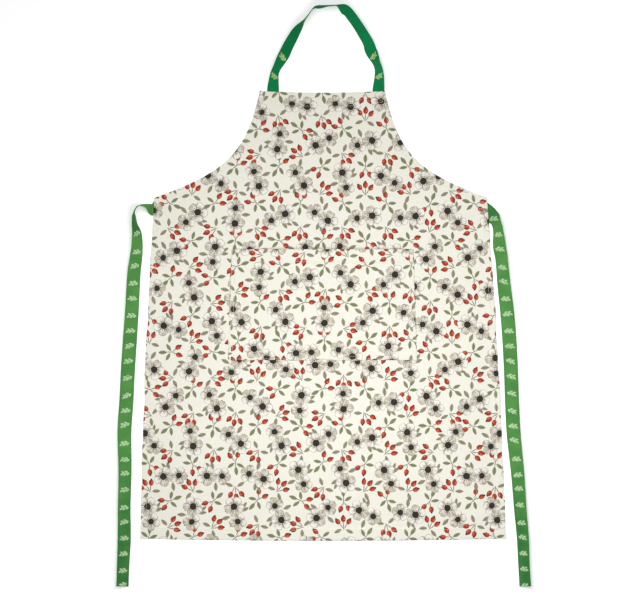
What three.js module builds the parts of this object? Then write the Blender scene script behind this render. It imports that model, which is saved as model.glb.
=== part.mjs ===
// A cotton bib apron lying flat, face up: millimetres, +Z up.
// X runs across the apron and Y from the hem towards the neck. Z = 0 is the surface that it lies on, and the
// origin is on that surface, midway along the waist line.
import * as THREE from 'three';

// Cloth and tape thicknesses, and the clearance between pieces that meet
const CLOTH = 1.0;
const TURNED_CLOTH = 2.0;
const TAPE = 1.2;
const GAP = 0.3;

// Panel: the ends of its hem, waist and bib edges
const HEM = { y: -661, left: -352.5, right: 357 };
const WAIST = { y: 0, left: -325, right: 320 };
const BIB = { y: 207.5, left: -120.5, right: 122 };
// How far each side swells between waist and hem, and how far the middle of the hem and of the bib edge sag
const SIDE_BOW = 4;
const HEM_SAG = 4;
const BIB_SAG = 3.5;
// Armhole: where its two tangents would meet, as shares of the way from bib to waist across and from waist to
// bib upwards, and how far the curve's handles reach towards that corner
const ARMHOLE = { across: 0.16, up: 0.3, fullness: 0.83 };
// Turned edges, and the narrow band over which each steps down to one layer
const SIDE_HEM = 12;
const BOTTOM_HEM = 22;
const BIB_HEM = 28;
const HEM_STEP = 3;
// Divisions of the panel inside its hems
const PANEL_COLUMNS = 26;
const SKIRT_ROWS = 26;
const ARMHOLE_ROWS = 12;

// Low folds of the lying cloth: centre, direction of the crest in degrees, full length and width, and height
const FOLDS = [
  { x: -272, y: -400, angle: 93, length: 470, width: 160, height: 2.4 },
  { x: 274, y: -360, angle: 88, length: 430, width: 160, height: 2.2 },
  { x: 30, y: -500, angle: 84, length: 330, width: 220, height: 2.0 },
  { x: -70, y: 85, angle: 38, length: 230, width: 120, height: 1.6 },
  { x: 85, y: 70, angle: 140, length: 230, width: 120, height: 1.6 },
];

// Where a tape end is sewn behind the panel, which rides over it: middle and half-sizes of the raised place
const TUCKS = [
  { x: -95, y: 200, reachX: 22, reachY: 30 },
  { x: 109.5, y: 200, reachX: 22, reachY: 30 },
  { x: -315, y: -23, reachX: 45, reachY: 40 },
  { x: 312, y: -22, reachX: 45, reachY: 45 },
];
const TUCK_RISE = TAPE + 2 * GAP;
const TUCK_FADE = 30;

// Pocket: the ends of its mouth and foot, its mouth hem, and how far the mouth gapes at its middle
const POCKET_MOUTH = { y: -99.5, left: -175.5, right: 177.5 };
const POCKET_FOOT = { y: -314.5, left: -182.5, right: 184 };
const POCKET_HEM = 26;
const POCKET_SEAM = 10;
const POCKET_GAPE = 9;
const POCKET_GAPE_POWER = 1.4;
const POCKET_COLUMNS = 16;
const POCKET_ROWS = 10;

// Tapes: widths, and the route of each on the surface. Roll is how far the tape stands up on its edge, in
// degrees, with the edge on the left of the way along it raised; at 180 it lies flat again, the other face up.
const NECK_WIDTH = 23;
const TIE_WIDTH = 27.5;
const STEPS_PER_STATION = 4;
// Corners of a tape's section: which way each lies across and through it
const SECTION = [[-1, -1], [1, -1], [1, 1], [-1, 1]];
const NECK_ROUTE = [
  { x: -95, y: 184, roll: 0 },
  { x: -95, y: 208, roll: 0 },
  { x: -94.5, y: 218, roll: 20 },
  { x: -93.5, y: 229, roll: 35 },
  { x: -92, y: 240.5, roll: 46 },
  { x: -88.5, y: 250, roll: 48 },
  { x: -85, y: 257, roll: 44 },
  { x: -80.5, y: 265.5, roll: 32 },
  { x: -73.5, y: 278, roll: 19 },
  { x: -66.5, y: 293, roll: 26 },
  { x: -57, y: 310.5, roll: 34 },
  { x: -50.5, y: 322, roll: 43 },
  { x: -44.5, y: 330.5, roll: 56 },
  { x: -34.5, y: 344, roll: 84 },
  { x: -26, y: 355.5, roll: 90 },
  { x: -18, y: 366.5, roll: 90 },
  { x: -13.5, y: 369.5, roll: 84 },
  { x: -8, y: 370, roll: 78 },
  { x: 0, y: 370.5, roll: 80 },
  { x: 9.5, y: 372, roll: 87 },
  { x: 21.5, y: 373, roll: 90 },
  { x: 29, y: 373, roll: 88 },
  { x: 34, y: 371, roll: 70 },
  { x: 43, y: 366, roll: 34 },
  { x: 50, y: 361, roll: 36 },
  { x: 56, y: 353.5, roll: 34 },
  { x: 67.5, y: 337.5, roll: 35 },
  { x: 78, y: 321, roll: 32 },
  { x: 90, y: 300, roll: 24 },
  { x: 94.5, y: 286.5, roll: 6 },
  { x: 101.5, y: 271.5, roll: 36 },
  { x: 105.5, y: 262, roll: 51 },
  { x: 109.5, y: 251, roll: 50 },
  { x: 111, y: 234.5, roll: 37 },
  { x: 110, y: 218, roll: 20 },
  { x: 109.5, y: 208, roll: 0 },
  { x: 109.5, y: 184, roll: 0 },
];
const LEFT_TIE_ROUTE = [
  { x: -302, y: -20.5, roll: 0 },
  { x: -328.5, y: -20.5, roll: 0 },
  { x: -331.8, y: -19.8, roll: 38 },
  { x: -335, y: -17.8, roll: 60 },
  { x: -338.5, y: -16, roll: 71 },
  { x: -343.5, y: -14.8, roll: 78 },
  { x: -351, y: -14.2, roll: 85 },
  { x: -355.5, y: -15, roll: 89 },
  { x: -359.2, y: -17.6, roll: 90 },
  { x: -361.8, y: -21.9, roll: 90 },
  { x: -363.7, y: -26.3, roll: 91 },
  { x: -364.5, y: -30.5, roll: 95 },
  { x: -364.6, y: -35, roll: 102 },
  { x: -364, y: -43.5, roll: 107 },
  { x: -362.5, y: -54, roll: 114 },
  { x: -360.2, y: -62, roll: 124 },
  { x: -358.8, y: -70, roll: 131 },
  { x: -358.5, y: -80, roll: 137 },
  { x: -358.5, y: -95, roll: 142 },
  { x: -360.5, y: -115, roll: 150 },
  { x: -364, y: -140, roll: 157 },
  { x: -368.5, y: -217, roll: 163 },
  { x: -372.5, y: -275, roll: 171 },
  { x: -376.5, y: -334, roll: 178 },
  { x: -379.5, y: -395, roll: 178 },
  { x: -383, y: -450, roll: 168 },
  { x: -382, y: -528, roll: 157 },
  { x: -383.5, y: -600, roll: 152 },
  { x: -383.5, y: -660, roll: 157 },
  { x: -385.5, y: -712, roll: 149 },
  { x: -387, y: -753, roll: 148 },
];
const RIGHT_TIE_ROUTE = [
  { x: 299, y: -12.5, roll: 0 },
  { x: 320.5, y: -25.5, roll: 0 },
  { x: 330.5, y: -36, roll: 0 },
  { x: 335.5, y: -44, roll: 38 },
  { x: 338, y: -49.5, roll: 48 },
  { x: 340.5, y: -57.5, roll: 47 },
  { x: 342, y: -69, roll: 44 },
  { x: 343, y: -81.5, roll: 32 },
  { x: 344.5, y: -97, roll: 24 },
  { x: 347.5, y: -113, roll: 28 },
  { x: 349.5, y: -133, roll: 30 },
  { x: 353, y: -170, roll: 22 },
  { x: 358.5, y: -217, roll: 13 },
  { x: 362.5, y: -262, roll: 5 },
  { x: 366.5, y: -334, roll: 2 },
  { x: 368.5, y: -392, roll: 2 },
  { x: 371.5, y: -455, roll: 10 },
  { x: 379.5, y: -537, roll: 23 },
  { x: 384.5, y: -605, roll: 30 },
  { x: 389, y: -655, roll: 34 },
  { x: 391.5, y: -712, roll: 39 },
  { x: 394, y: -753, roll: 38 },
];

const PRINTED_COTTON = { color: 0xf1ede0, roughness: 0.92, metalness: 0 };
const NECK_TAPE = { color: 0x24764a, roughness: 0.85, metalness: 0 };
const TIE_TAPE = { color: 0x4f8c48, roughness: 0.85, metalness: 0 };

const { lerp, smoothstep, degToRad } = THREE.MathUtils;

// Evenly spaced numbers from first to last, both included
function spread(first, last, divisions) {
  return Array.from({ length: divisions + 1 }, (_, i) => lerp(first, last, i / divisions));
}

// A smooth hump: 1 at the middle and 0 from the given reach outwards
function hump(distance, reach) {
  return Math.cos((Math.min(Math.abs(distance) / reach, 1) * Math.PI) / 2) ** 2;
}

// How high the low folds lift the cloth at a place
function foldHeight(x, y) {
  let height = 0;
  for (const fold of FOLDS) {
    const angle = degToRad(fold.angle);
    const along = (x - fold.x) * Math.cos(angle) + (y - fold.y) * Math.sin(angle);
    const aside = (y - fold.y) * Math.cos(angle) - (x - fold.x) * Math.sin(angle);
    height += fold.height * hump(along, fold.length / 2) * hump(aside, fold.width / 2);
  }
  return height;
}

// How high the panel rides over the tape ends behind it
function tuckHeight(x, y) {
  const heights = TUCKS.map((tuck) => {
    const besideX = smoothstep(Math.abs(x - tuck.x) - tuck.reachX, 0, TUCK_FADE);
    const besideY = smoothstep(Math.abs(y - tuck.y) - tuck.reachY, 0, TUCK_FADE);
    return TUCK_RISE * (1 - besideX) * (1 - besideY);
  });
  return Math.max(...heights);
}

// A closed sheet from a grid of places { x, y, under, thick }, with rows towards +Y and columns towards +X
function sheetGeometry(grid) {
  const rows = grid.length;
  const columns = grid[0].length;
  const places = grid.flat();
  const top = places.flatMap((p) => [p.x, p.y, p.under + p.thick]);
  const bottom = places.flatMap((p) => [p.x, p.y, p.under]);
  const under = (vertex) => vertex + places.length;
  const index = [];
  for (let r = 0; r < rows - 1; r += 1) {
    for (let c = 0; c < columns - 1; c += 1) {
      const near = r * columns + c;
      const far = near + columns;
      index.push(near, near + 1, far + 1, near, far + 1, far);
      index.push(under(near), under(far + 1), under(near + 1), under(near), under(far), under(far + 1));
    }
  }
  const rowNumbers = [...Array(rows).keys()];
  const columnNumbers = [...Array(columns).keys()];
  const rim = [
    ...columnNumbers.slice(0, -1),
    ...rowNumbers.slice(0, -1).map((r) => r * columns + columns - 1),
    ...columnNumbers.slice(1).reverse().map((c) => (rows - 1) * columns + c),
    ...rowNumbers.slice(1).reverse().map((r) => r * columns),
  ];
  rim.forEach((from, i) => {
    const to = rim[(i + 1) % rim.length];
    index.push(under(from), under(to), to, under(from), to, from);
  });
  return closedGeometry([...top, ...bottom], index);
}

function closedGeometry(positions, index) {
  const geometry = new THREE.BufferGeometry();
  geometry.setAttribute('position', new THREE.Float32BufferAttribute(positions, 3));
  geometry.setIndex(index);
  geometry.computeVertexNormals();
  return geometry;
}

// The armhole edge from a waist corner up to a bib corner
function armholeCurve(waistX, bibX) {
  const waist = new THREE.Vector2(waistX, WAIST.y);
  const bib = new THREE.Vector2(bibX, BIB.y);
  const corner = new THREE.Vector2(lerp(bibX, waistX, ARMHOLE.across), lerp(WAIST.y, BIB.y, ARMHOLE.up));
  const lowHandle = waist.clone().lerp(corner, ARMHOLE.fullness);
  const highHandle = bib.clone().lerp(corner, ARMHOLE.fullness);
  return new THREE.CubicBezierCurve(waist, lowHandle, highHandle, bib);
}

// Where along a rising curve a height is reached, by halving the stretch that holds it
const HALVINGS = 30;
function stationAt(curve, height) {
  let low = 0;
  let high = 1;
  for (let halving = 0; halving < HALVINGS; halving += 1) {
    const middle = (low + high) / 2;
    if (curve.getPoint(middle).y < height) low = middle;
    else high = middle;
  }
  return (low + high) / 2;
}

// The panel's rows from hem to bib: both ends, the sag of the middle, and the slope of the edge, which widens
// the side hem as measured along X
function panelRows() {
  const length = WAIST.y - HEM.y;
  const turned = BOTTOM_HEM + HEM_STEP;
  const heights = [0, BOTTOM_HEM, ...spread(turned, length, SKIRT_ROWS)];
  const skirt = heights.map((height) => {
    const t = height / length;
    const bow = SIDE_BOW * Math.sin(Math.PI * t);
    return {
      y: HEM.y + height,
      left: lerp(HEM.left, WAIST.left, t) - bow,
      right: lerp(HEM.right, WAIST.right, t) + bow,
      sag: HEM_SAG * (1 - t),
      slope: 1,
    };
  });
  const leftCurve = armholeCurve(WAIST.left, BIB.left);
  const rightCurve = armholeCurve(WAIST.right, BIB.right);
  const lastFlat = stationAt(leftCurve, BIB.y - BIB_HEM - HEM_STEP);
  const hemStart = stationAt(leftCurve, BIB.y - BIB_HEM);
  const stations = [...spread(0, lastFlat, ARMHOLE_ROWS).slice(1), hemStart, 1];
  const bib = stations.map((station) => ({
    y: leftCurve.getPoint(station).y,
    left: leftCurve.getPoint(station).x,
    right: rightCurve.getPoint(station).x,
    sag: BIB_SAG * station,
    slope: leftCurve.getTangent(station).y,
  }));
  return [...skirt, ...bib];
}

function panelGeometry() {
  const rows = panelRows();
  const turnedRows = [0, 1, rows.length - 2, rows.length - 1];
  const grid = rows.map((row, r) => {
    const hem = SIDE_HEM / row.slope;
    const flat = hem + HEM_STEP / row.slope;
    const inner = spread(row.left + flat, row.right - flat, PANEL_COLUMNS);
    const across = [row.left, row.left + hem, ...inner, row.right - hem, row.right];
    const turnedColumns = [0, 1, across.length - 2, across.length - 1];
    return across.map((x, c) => {
      const side = (2 * (x - row.left)) / (row.right - row.left) - 1;
      const y = row.y - row.sag * (1 - side * side);
      const turned = turnedRows.includes(r) || turnedColumns.includes(c);
      return { x, y, under: foldHeight(x, y) + tuckHeight(x, y), thick: turned ? TURNED_CLOTH : CLOTH };
    });
  });
  return sheetGeometry(grid);
}

function pocketGeometry() {
  const height = POCKET_MOUTH.y - POCKET_FOOT.y;
  const flatEnd = height - POCKET_HEM - HEM_STEP;
  const heights = [0, ...spread(POCKET_SEAM, flatEnd, POCKET_ROWS), height - POCKET_HEM, height];
  const grid = heights.map((up, r) => {
    const v = up / height;
    const left = lerp(POCKET_FOOT.left, POCKET_MOUTH.left, v);
    const right = lerp(POCKET_FOOT.right, POCKET_MOUTH.right, v);
    const across = [left, ...spread(left + POCKET_SEAM, right - POCKET_SEAM, POCKET_COLUMNS), right];
    const turnedRow = r < 1 || r >= heights.length - 2;
    return across.map((x, c) => {
      const side = (2 * (x - left)) / (right - left) - 1;
      const gape = POCKET_GAPE * (1 - side * side) * v ** POCKET_GAPE_POWER;
      const turned = turnedRow || c < 1 || c >= across.length - 1;
      const thick = turned ? TURNED_CLOTH : CLOTH;
      return { x, y: POCKET_FOOT.y + up, under: CLOTH + GAP + gape, thick };
    });
  });
  return sheetGeometry(grid);
}

// The direction to the left of a heading, tilted up by an angle
function leftwards(heading, tilt) {
  const level = Math.cos(tilt);
  return new THREE.Vector3(-Math.sin(heading) * level, Math.cos(heading) * level, Math.sin(tilt));
}

// A flat tape along a route on the surface, resting on its lower edge wherever it stands up
function tapeGeometry(width, stations) {
  // The third coordinate of the curve carries the roll, in radians
  const points = stations.map((station) => new THREE.Vector3(station.x, station.y, degToRad(station.roll)));
  const route = new THREE.CatmullRomCurve3(points, false, 'centripetal');
  const steps = (stations.length - 1) * STEPS_PER_STATION;
  const positions = [];
  const index = [];
  for (let step = 0; step <= steps; step += 1) {
    const place = route.getPoint(step / steps);
    const way = route.getTangent(step / steps);
    const heading = Math.atan2(way.y, way.x);
    const roll = Math.max(place.z, 0);
    const across = leftwards(heading, roll).multiplyScalar(width / 2);
    const through = leftwards(heading, roll + Math.PI / 2).multiplyScalar(TAPE / 2);
    const centre = new THREE.Vector3(place.x, place.y, Math.abs(across.z) + Math.abs(through.z));
    for (const [sideways, upwards] of SECTION) {
      positions.push(...centre.clone().addScaledVector(across, sideways).addScaledVector(through, upwards));
    }
  }
  const corners = SECTION.length;
  const last = corners * steps;
  for (let ring = 0; ring < last; ring += corners) {
    for (let corner = 0; corner < corners; corner += 1) {
      const here = ring + corner;
      const beside = ring + ((corner + 1) % corners);
      index.push(here, beside, beside + corners, here, beside + corners, here + corners);
    }
  }
  index.push(0, 2, 1, 0, 3, 2, last, last + 1, last + 2, last, last + 2, last + 3);
  return closedGeometry(positions, index);
}

function piece(name, geometry, finish) {
  const mesh = new THREE.Mesh(geometry, new THREE.MeshStandardMaterial(finish));
  mesh.name = name;
  return mesh;
}

const apron = new THREE.Group();
apron.add(
  piece('apron_panel', panelGeometry(), PRINTED_COTTON),
  piece('pocket', pocketGeometry(), PRINTED_COTTON),
  piece('neck_strap', tapeGeometry(NECK_WIDTH, NECK_ROUTE), NECK_TAPE),
  piece('tie_left', tapeGeometry(TIE_WIDTH, LEFT_TIE_ROUTE), TIE_TAPE),
  piece('tie_right', tapeGeometry(TIE_WIDTH, RIGHT_TIE_ROUTE), TIE_TAPE),
);

export default apron;
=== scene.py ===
import math
from collections import namedtuple

import bpy
import numpy as np
from mathutils import Color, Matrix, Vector


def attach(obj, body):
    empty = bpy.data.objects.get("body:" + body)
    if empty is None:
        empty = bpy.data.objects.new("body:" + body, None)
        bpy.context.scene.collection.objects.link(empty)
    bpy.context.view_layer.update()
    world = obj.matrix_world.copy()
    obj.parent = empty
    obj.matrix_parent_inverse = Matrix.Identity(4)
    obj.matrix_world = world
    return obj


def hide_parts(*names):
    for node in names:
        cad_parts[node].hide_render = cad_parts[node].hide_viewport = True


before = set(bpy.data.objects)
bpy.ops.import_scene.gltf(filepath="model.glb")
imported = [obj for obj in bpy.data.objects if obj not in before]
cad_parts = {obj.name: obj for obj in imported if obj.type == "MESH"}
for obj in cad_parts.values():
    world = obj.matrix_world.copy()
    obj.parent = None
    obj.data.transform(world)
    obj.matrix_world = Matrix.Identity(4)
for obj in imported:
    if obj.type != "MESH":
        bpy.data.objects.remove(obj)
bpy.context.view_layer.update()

MM = 0.001
SQUARE = ((-1, -1), (1, -1), (1, 1), (-1, 1))

# Cloth and tape
CLOTH = 1.0
TURNING = 1.0
TAPE = 1.2
SEAM_GAP = 0.15
EDGE_ROUND = 1.1
EDGE_LEAST = 0.3

# Panel outline
Edge = namedtuple("Edge", "y left right")
HEM = Edge(-661.0, -352.5, 357.0)
WAIST = Edge(0.0, -325.0, 320.0)
BIB = Edge(207.5, -120.5, 122.0)
SIDE_BOW = 4.0
HEM_SAG = 4.0
BIB_SAG = 3.5
ARMHOLE_ACROSS = 0.16
ARMHOLE_UP = 0.3
ARMHOLE_FULLNESS = 0.83
WANDER = 0.9
Wave = namedtuple("Wave", "height halves phases")
WANDER_WAVES = [Wave(1.0, 7.0, 1.0), Wave(0.6, 17.0, 2.0)]

# Hems. STITCH_BACK is how far a line of stitches lies outside the inner edge of its hem
SIDE_HEM = 12.0
BOTTOM_HEM = 22.0
BIB_HEM = 28.0
HEM_STEP = 1.4
STITCH_BACK = 2.0
STITCH_DIP = 0.35
STITCH_DIP_REACH = 1.1
PUCKER = 0.28
PUCKER_PITCH = 11.0
PUCKER_REACH = 9.0
PUCKER_SWAY = 1.3
PUCKER_SWAY_LENGTH = 37.0
PUCKER_SWELL = 0.35
PUCKER_SWELL_LENGTH = 53.0
TURNED_FROM = 0.5

# Broad folds, narrow creases, and the places where a tape lies under the panel
Fold = namedtuple("Fold", "x y angle length width height")
FOLDS = [
    Fold(-272, -400, 93, 470, 160, 2.4),
    Fold(274, -360, 88, 430, 160, 2.2),
    Fold(30, -500, 84, 330, 220, 2.0),
    Fold(-70, 85, 38, 230, 120, 1.6),
    Fold(85, 70, 140, 230, 120, 1.6),
    Fold(-255, -38, -20, 150, 22, 0.8),
    Fold(-268, -70, -38, 130, 20, 0.7),
    Fold(250, -45, 24, 150, 24, 0.8),
    Fold(262, -82, 42, 120, 20, 0.7),
    Fold(-205, -345, 52, 120, 24, 0.7),
    Fold(212, -350, 126, 130, 24, 0.7),
    Fold(-84, 150, 64, 110, 18, 0.6),
    Fold(92, 152, 118, 110, 18, 0.6),
    Fold(-20, -420, 12, 260, 26, 0.6),
    Fold(150, -560, 160, 220, 26, 0.6),
    Fold(-180, -575, 18, 200, 24, 0.6),
    Fold(10, 20, 4, 300, 26, 0.6),
]
Tuck = namedtuple("Tuck", "x y reach_x reach_y")
TUCKS = [
    Tuck(-95, 200, 22, 30),
    Tuck(109.5, 200, 22, 30),
    Tuck(-315, -23, 45, 40),
    Tuck(312, -22, 45, 45),
]
TUCK_RISE = 1.8
TUCK_FADE = 30.0
RIPPLE_SEED = 7
RIPPLE_COUNT = 18
RIPPLE_SHORTEST = 26.0
RIPPLE_LONGEST = 95.0
RIPPLE_HEIGHT = 0.11
RIPPLE_ROUND = 0.2

# Pocket
POCKET_MOUTH = Edge(-99.5, -175.5, 177.5)
POCKET_FOOT = Edge(-314.5, -182.5, 184.0)
POCKET_WIDTH = POCKET_FOOT.right - POCKET_FOOT.left
POCKET_HEIGHT = POCKET_MOUTH.y - POCKET_FOOT.y
POCKET_LEFT_PHASE = 1.0
POCKET_RIGHT_PHASE = 2.0
POCKET_FOOT_PHASE = 3.0
POCKET_HEM = 26.0
POCKET_SEAM = 10.0
POCKET_SEAM_STITCHES = (2.4, 8.2)
POCKET_GAPE = 9.0
POCKET_GAPE_POWER = 1.4

# Tapes, each as places along its middle with the degrees that it is rolled towards its edge
Place = namedtuple("Place", "x y roll")
NECK_WIDTH = 23.0
NECK_ROUTE = [Place(*row) for row in (
    (-95, 184, 0), (-95, 208, 0), (-94.5, 218, 20), (-93.5, 229, 35),
    (-92, 240.5, 46), (-88.5, 250, 48), (-85, 257, 44), (-80.5, 265.5, 32),
    (-73.5, 278, 19), (-66.5, 293, 26), (-57, 310.5, 34), (-50.5, 322, 43),
    (-44.5, 330.5, 56), (-34.5, 344, 84), (-26, 355.5, 90), (-18, 366.5, 90),
    (-13.5, 369.5, 84), (-8, 370, 78), (0, 370.5, 80), (9.5, 372, 87),
    (21.5, 373, 90), (29, 373, 88), (34, 371, 70), (43, 366, 34),
    (50, 361, 36), (56, 353.5, 34), (67.5, 337.5, 35), (78, 321, 32),
    (90, 300, 24), (94.5, 286.5, 6), (101.5, 271.5, 36), (105.5, 262, 51),
    (109.5, 251, 50), (111, 234.5, 37), (110, 218, 20), (109.5, 208, 0),
    (109.5, 184, 0),
)]
TIE_WIDTH = 27.5
LEFT_TIE_ROUTE = [Place(*row) for row in (
    (-302, -20.5, 0), (-328.5, -20.5, 0), (-331.8, -19.8, 38), (-335, -17.8, 60),
    (-338.5, -16, 71), (-343.5, -14.8, 78), (-351, -14.2, 85), (-355.5, -15, 89),
    (-359.2, -17.6, 90), (-361.8, -21.9, 90), (-363.7, -26.3, 91), (-364.5, -30.5, 95),
    (-364.6, -35, 102), (-364, -43.5, 107), (-362.5, -54, 114), (-360.2, -62, 124),
    (-358.8, -70, 131), (-358.5, -80, 137), (-358.5, -95, 142), (-360.5, -115, 150),
    (-364, -140, 157), (-368.5, -217, 163), (-372.5, -275, 171), (-376.5, -334, 178),
    (-379.5, -395, 178), (-383, -450, 168), (-382, -528, 157), (-383.5, -600, 152),
    (-383.5, -660, 157), (-385.5, -712, 149), (-387, -753, 148),
)]
RIGHT_TIE_ROUTE = [Place(*row) for row in (
    (299, -12.5, 0), (320.5, -25.5, 0), (330.5, -36, 0), (335.5, -44, 38),
    (338, -49.5, 48), (340.5, -57.5, 47), (342, -69, 44), (343, -81.5, 32),
    (344.5, -97, 24), (347.5, -113, 28), (349.5, -133, 30), (353, -170, 22),
    (358.5, -217, 13), (362.5, -262, 5), (366.5, -334, 2), (368.5, -392, 2),
    (371.5, -455, 10), (379.5, -537, 23), (384.5, -605, 30), (389, -655, 34),
    (391.5, -712, 39), (394, -753, 38),
)]
TAPE_STEP = 2.5
TAPE_SUBSTEPS = 24
TAPE_END_FOLD = 9.0
TAPE_END_RISE = 0.5
TAPE_STITCH_IN = 2.2
TAPE_STITCH_SHARE = 0.62

# Section of a tape, as shares of its half thickness at places inward from its edge, then inward from its
# stitches, both in millimetres, and then at shares of the way from the stitches to its middle
Inset = namedtuple("Inset", "inward thickness")
TAPE_EDGE = [Inset(0.0, 0.0), Inset(0.15, 0.5), Inset(0.5, 0.9), Inset(1.2, 1.0)]
TAPE_GROOVE = [Inset(-0.5, 0.82), Inset(0.0, TAPE_STITCH_SHARE), Inset(0.6, 0.82), Inset(1.8, 0.96)]
TAPE_MIDDLE = [Inset(0.45, 1.0), Inset(0.75, 0.97), Inset(1.0, 0.96)]

# Stitches. A tape's face that points down by more than FLOORED lies on the floor and shows none
FLOORED = -0.5
STITCH_LENGTH = 2.5
STITCH_PITCH = 3.2
STITCH_RADIUS = 0.32
STITCH_SIDES = 6
Bead = namedtuple("Bead", "along girth rise")
STITCH_BEADS = [
    Bead(0.0, 0.35, -0.7), Bead(0.14, 0.85, 0.0), Bead(0.5, 1.0, 0.25), Bead(0.86, 0.85, 0.0),
    Bead(1.0, 0.35, -0.7),
]
BOX_SIZE = 17.0
Box = namedtuple("Box", "x y angle")
STRAP_BOXES = [Box(-95, 194, 0), Box(109.5, 194, 0), Box(-313, -20.5, 0), Box(309, -20, -35)]


# Numbers over the plan of the cloth

def smoothstep(low, high, value):
    share = np.clip((value - low) / (high - low), 0.0, 1.0)
    return share * share * (3.0 - 2.0 * share)


def within(limit, fade, distance):
    """1 up to a limit, falling smoothly to 0 over the fade beyond it."""
    return 1.0 - smoothstep(limit, limit + fade, distance)


def hump(distance, reach):
    """1 at a line, falling smoothly to 0 at this reach from it."""
    return np.cos(0.5 * np.pi * np.minimum(np.abs(distance) / reach, 1.0)) ** 2


def unit(vectors):
    return vectors / np.linalg.norm(vectors, axis=-1, keepdims=True)


def leftward(line):
    """The direction to the left of a line in plan, at each of its points."""
    heading = unit(np.gradient(line, axis=0))
    return np.column_stack([-heading[:, 1], heading[:, 0]])


def run_along(line):
    """How far along a line each of its points is."""
    return np.concatenate([[0.0], np.cumsum(np.linalg.norm(np.diff(line, axis=0), axis=1))])


def at_run(where, run, values):
    """The values at these distances along a run, column by column."""
    return np.column_stack([np.interp(where, run, column) for column in values.T])


def folds_height(x, y):
    total = np.zeros_like(x)
    for fold in FOLDS:
        turn = math.radians(fold.angle)
        along = (x - fold.x) * math.cos(turn) + (y - fold.y) * math.sin(turn)
        aside = (y - fold.y) * math.cos(turn) - (x - fold.x) * math.sin(turn)
        total += fold.height * hump(along, fold.length / 2) * hump(aside, fold.width / 2)
    return total


def tucks_height(x, y):
    """How far the panel is lifted where the end of a tape is sewn beneath it."""
    lift = np.zeros_like(x)
    for tuck in TUCKS:
        near_x = within(tuck.reach_x, TUCK_FADE, np.abs(x - tuck.x))
        near_y = within(tuck.reach_y, TUCK_FADE, np.abs(y - tuck.y))
        lift = np.maximum(lift, near_x * near_y)
    return TUCK_RISE * lift


random = np.random.default_rng(RIPPLE_SEED)
ripple_turns = random.uniform(0.0, 2.0 * np.pi, RIPPLE_COUNT)
ripple_phases = random.uniform(0.0, 2.0 * np.pi, RIPPLE_COUNT)
ripple_lengths = np.linspace(RIPPLE_SHORTEST, RIPPLE_LONGEST, RIPPLE_COUNT)


def ripples_height(x, y):
    """Small waves of cloth that has been washed. They rise from the floor and never go under it."""
    total = np.zeros_like(x)
    for turn, phase, length in zip(ripple_turns, ripple_phases, ripple_lengths):
        along = x * np.cos(turn) + y * np.sin(turn)
        total += RIPPLE_HEIGHT * np.sin(2.0 * np.pi * along / length + phase)
    return 0.5 * (total + np.sqrt(total ** 2 + RIPPLE_ROUND ** 2))


def under_panel(x, y):
    return folds_height(x, y) + tucks_height(x, y) + ripples_height(x, y)


def nearest_on_line(x, y, line):
    """Distance from each point to a line of points, and how far along the line the nearest place is."""
    nearest = np.full(x.shape, np.inf)
    along = np.zeros_like(x)
    run = 0.0
    for (ax, ay), (bx, by) in zip(line[:-1], line[1:]):
        length = math.hypot(bx - ax, by - ay)
        ux, uy = (bx - ax) / length, (by - ay) / length
        step = np.clip((x - ax) * ux + (y - ay) * uy, 0.0, length)
        distance = np.hypot(x - ax - step * ux, y - ay - step * uy)
        closer = distance < nearest
        nearest = np.where(closer, distance, nearest)
        along = np.where(closer, run + step, along)
        run += length
    return nearest, along


def edge_roundness(distance):
    """The share of its full thickness that folded cloth has near its edge."""
    inward = np.clip(distance / EDGE_ROUND, 0.0, 1.0)
    return EDGE_LEAST + (1.0 - EDGE_LEAST) * np.sqrt(1.0 - (1.0 - inward) ** 2)


def cloth_faces(base, layers, dip, from_edge):
    """Bottom and top of cloth that lies on a base, and where it is turned under."""
    full = CLOTH + TURNING * layers
    middle = base + full / 2
    half = edge_roundness(from_edge) * (full - dip) / 2
    return middle - half, middle + half, layers > TURNED_FROM


def stitch_dip(distance, stitch_at):
    return STITCH_DIP * np.exp(-((distance - stitch_at) / STITCH_DIP_REACH) ** 2)


def pucker(distance, along, stitch_at):
    """The little waves that a line of stitches draws the cloth into."""
    sway = PUCKER_SWAY * np.sin(along / PUCKER_SWAY_LENGTH)
    wave = np.sin(2.0 * np.pi * along / PUCKER_PITCH + sway)
    swell = 1.0 - PUCKER_SWELL + PUCKER_SWELL * np.sin(along / PUCKER_SWELL_LENGTH)
    return PUCKER * (1.0 + wave) / 2.0 * swell * np.exp(-((distance - stitch_at) / PUCKER_REACH) ** 2)


# Meshes

def add_object(name, data):
    piece = bpy.data.objects.new(name, data)
    bpy.context.scene.collection.objects.link(piece)
    return piece


def add_mesh(name, points, faces, plan, materials, face_materials):
    """A smooth mesh from points in millimetres, with each point's place in the flat cloth as its UV."""
    mesh = bpy.data.meshes.new(name)
    mesh.from_pydata((points * MM).tolist(), [], faces)
    layer = mesh.uv_layers.new(name="cloth")
    corners = np.empty(len(mesh.loops), dtype=np.int32)
    mesh.loops.foreach_get("vertex_index", corners)
    layer.data.foreach_set("uv", (plan[corners] * MM).astype(np.float32).ravel())
    for material in materials:
        mesh.materials.append(material)
    mesh.polygons.foreach_set("material_index", face_materials.astype(np.int32))
    mesh.shade_smooth()
    mesh.update()
    return add_object(name, mesh)


def quads(*corners):
    """Faces from four arrays of corners, which go round each face."""
    return np.stack(corners, axis=-1).reshape(-1, 4)


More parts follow.
